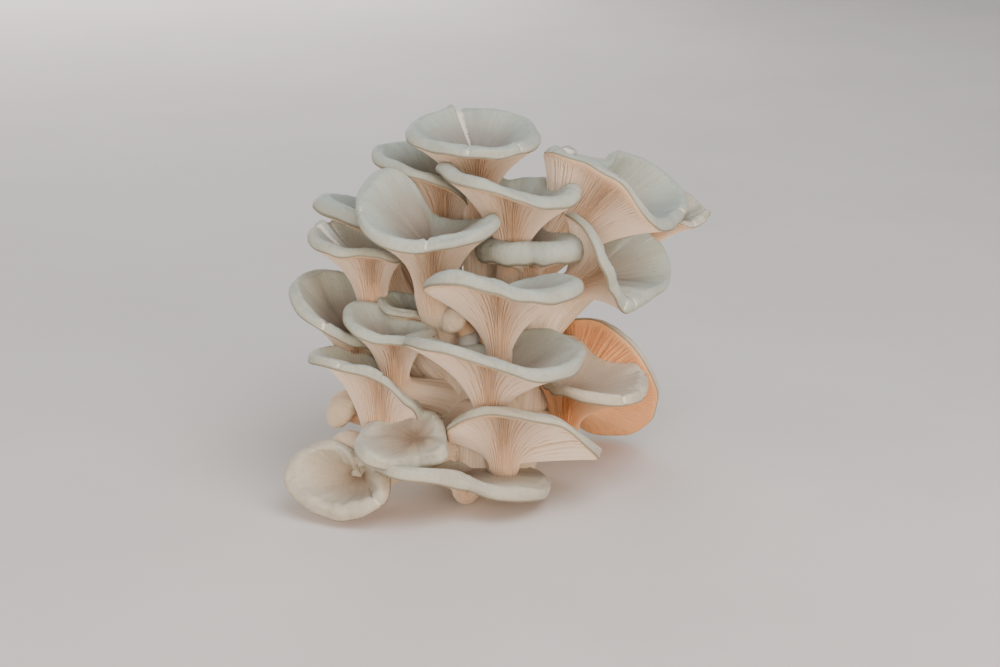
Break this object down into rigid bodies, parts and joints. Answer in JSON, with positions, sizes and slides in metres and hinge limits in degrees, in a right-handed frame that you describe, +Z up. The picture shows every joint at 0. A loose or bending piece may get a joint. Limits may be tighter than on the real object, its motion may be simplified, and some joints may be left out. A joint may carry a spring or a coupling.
{
  "type": "oyster mushroom cluster",
  "caption": "Cluster of fresh oyster mushrooms: overlapping funnel caps with rolled grey rims and running gills on curved stems that share one cut base.",
  "frame": {"origin": "middle of the flat cut face under the base, on the surface that the cluster stands on", "axes": "+Z up out of the cut face, +X to the right as the full side with the lowest caps is looked at, +Y to the back"},
  "size_m": [0.1774, 0.1366, 0.1523],
  "materials": {
    "cap_skin_and_gills": "matte suede-like grey skin above, cream to peach gills and stem below, on one grown piece",
    "button_skin": "matte pale cream skin of caps that have not opened",
    "cut_flesh": "matte fibrous cream flesh of the fused stems"
  },
  "bodies": {
    "root": {"front_low": "cap_skin_and_gills", "curled_left": "cap_skin_and_gills", "low_inner": "cap_skin_and_gills", "low_right": "cap_skin_and_gills", "left_low": "cap_skin_and_gills", "centre_low": "cap_skin_and_gills", "left_cup": "cap_skin_and_gills", "centre": "cap_skin_and_gills", "left_lobe": "cap_skin_and_gills", "big_funnel": "cap_skin_and_gills", "left_folded": "cap_skin_and_gills", "upper_middle": "cap_skin_and_gills", "crown": "cap_skin_and_gills", "right_fold": "cap_skin_and_gills", "right_upper": "cap_skin_and_gills", "right_back": "cap_skin_and_gills", "right_low": "cap_skin_and_gills", "back_right": "cap_skin_and_gills", "back_left": "cap_skin_and_gills", "left_back_roll": "cap_skin_and_gills", "middle_back": "cap_skin_and_gills", "left_small": "cap_skin_and_gills", "back_high": "cap_skin_and_gills", "back_mid": "cap_skin_and_gills", "back_low": "cap_skin_and_gills", "back_side": "cap_skin_and_gills", "left_bud": "button_skin", "low_bud": "button_skin", "centre_bud": "button_skin", "small_bud": "button_skin", "base": "cut_flesh"}
  },
  "joints": []
}
